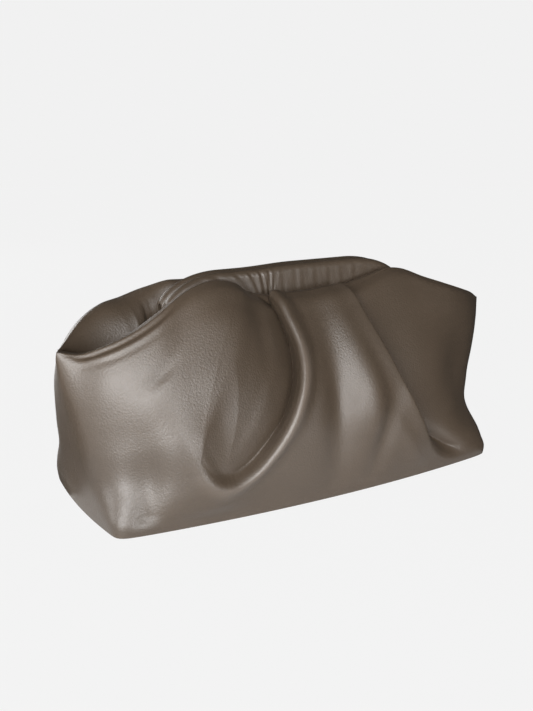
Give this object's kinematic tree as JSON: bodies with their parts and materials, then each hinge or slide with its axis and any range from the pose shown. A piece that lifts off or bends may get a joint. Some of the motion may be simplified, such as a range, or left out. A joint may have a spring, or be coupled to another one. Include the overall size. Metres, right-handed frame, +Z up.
{
  "type": "cloud pouch bag",
  "caption": "Soft leather clutch: a pleated pouch on a flat base, gathered at the mouth onto a hidden metal frame, carried in the hand.",
  "frame": {"origin": "middle of the underside of the base, on the surface it stands on", "axes": "+X along the length to the right as seen from the front, -Y towards the front with the curved pleat, +Z up"},
  "size_m": [0.3251, 0.1487, 0.143],
  "materials": {
    "leather_body": "fine-grained soft leather with a satin sheen, taupe",
    "leather_base": "fine-grained leather, flat, slightly darker taupe",
    "leather_lip": "the same soft leather, gathered into fine folds",
    "frame_metal": "plain bar, out of sight"
  },
  "bodies": {
    "root": {"front_panel": "leather_body", "back_panel": "leather_body", "base_panel": "leather_base", "front_lip": "leather_lip", "back_lip": "leather_lip", "hidden_frame": "frame_metal"}
  },
  "joints": []
}
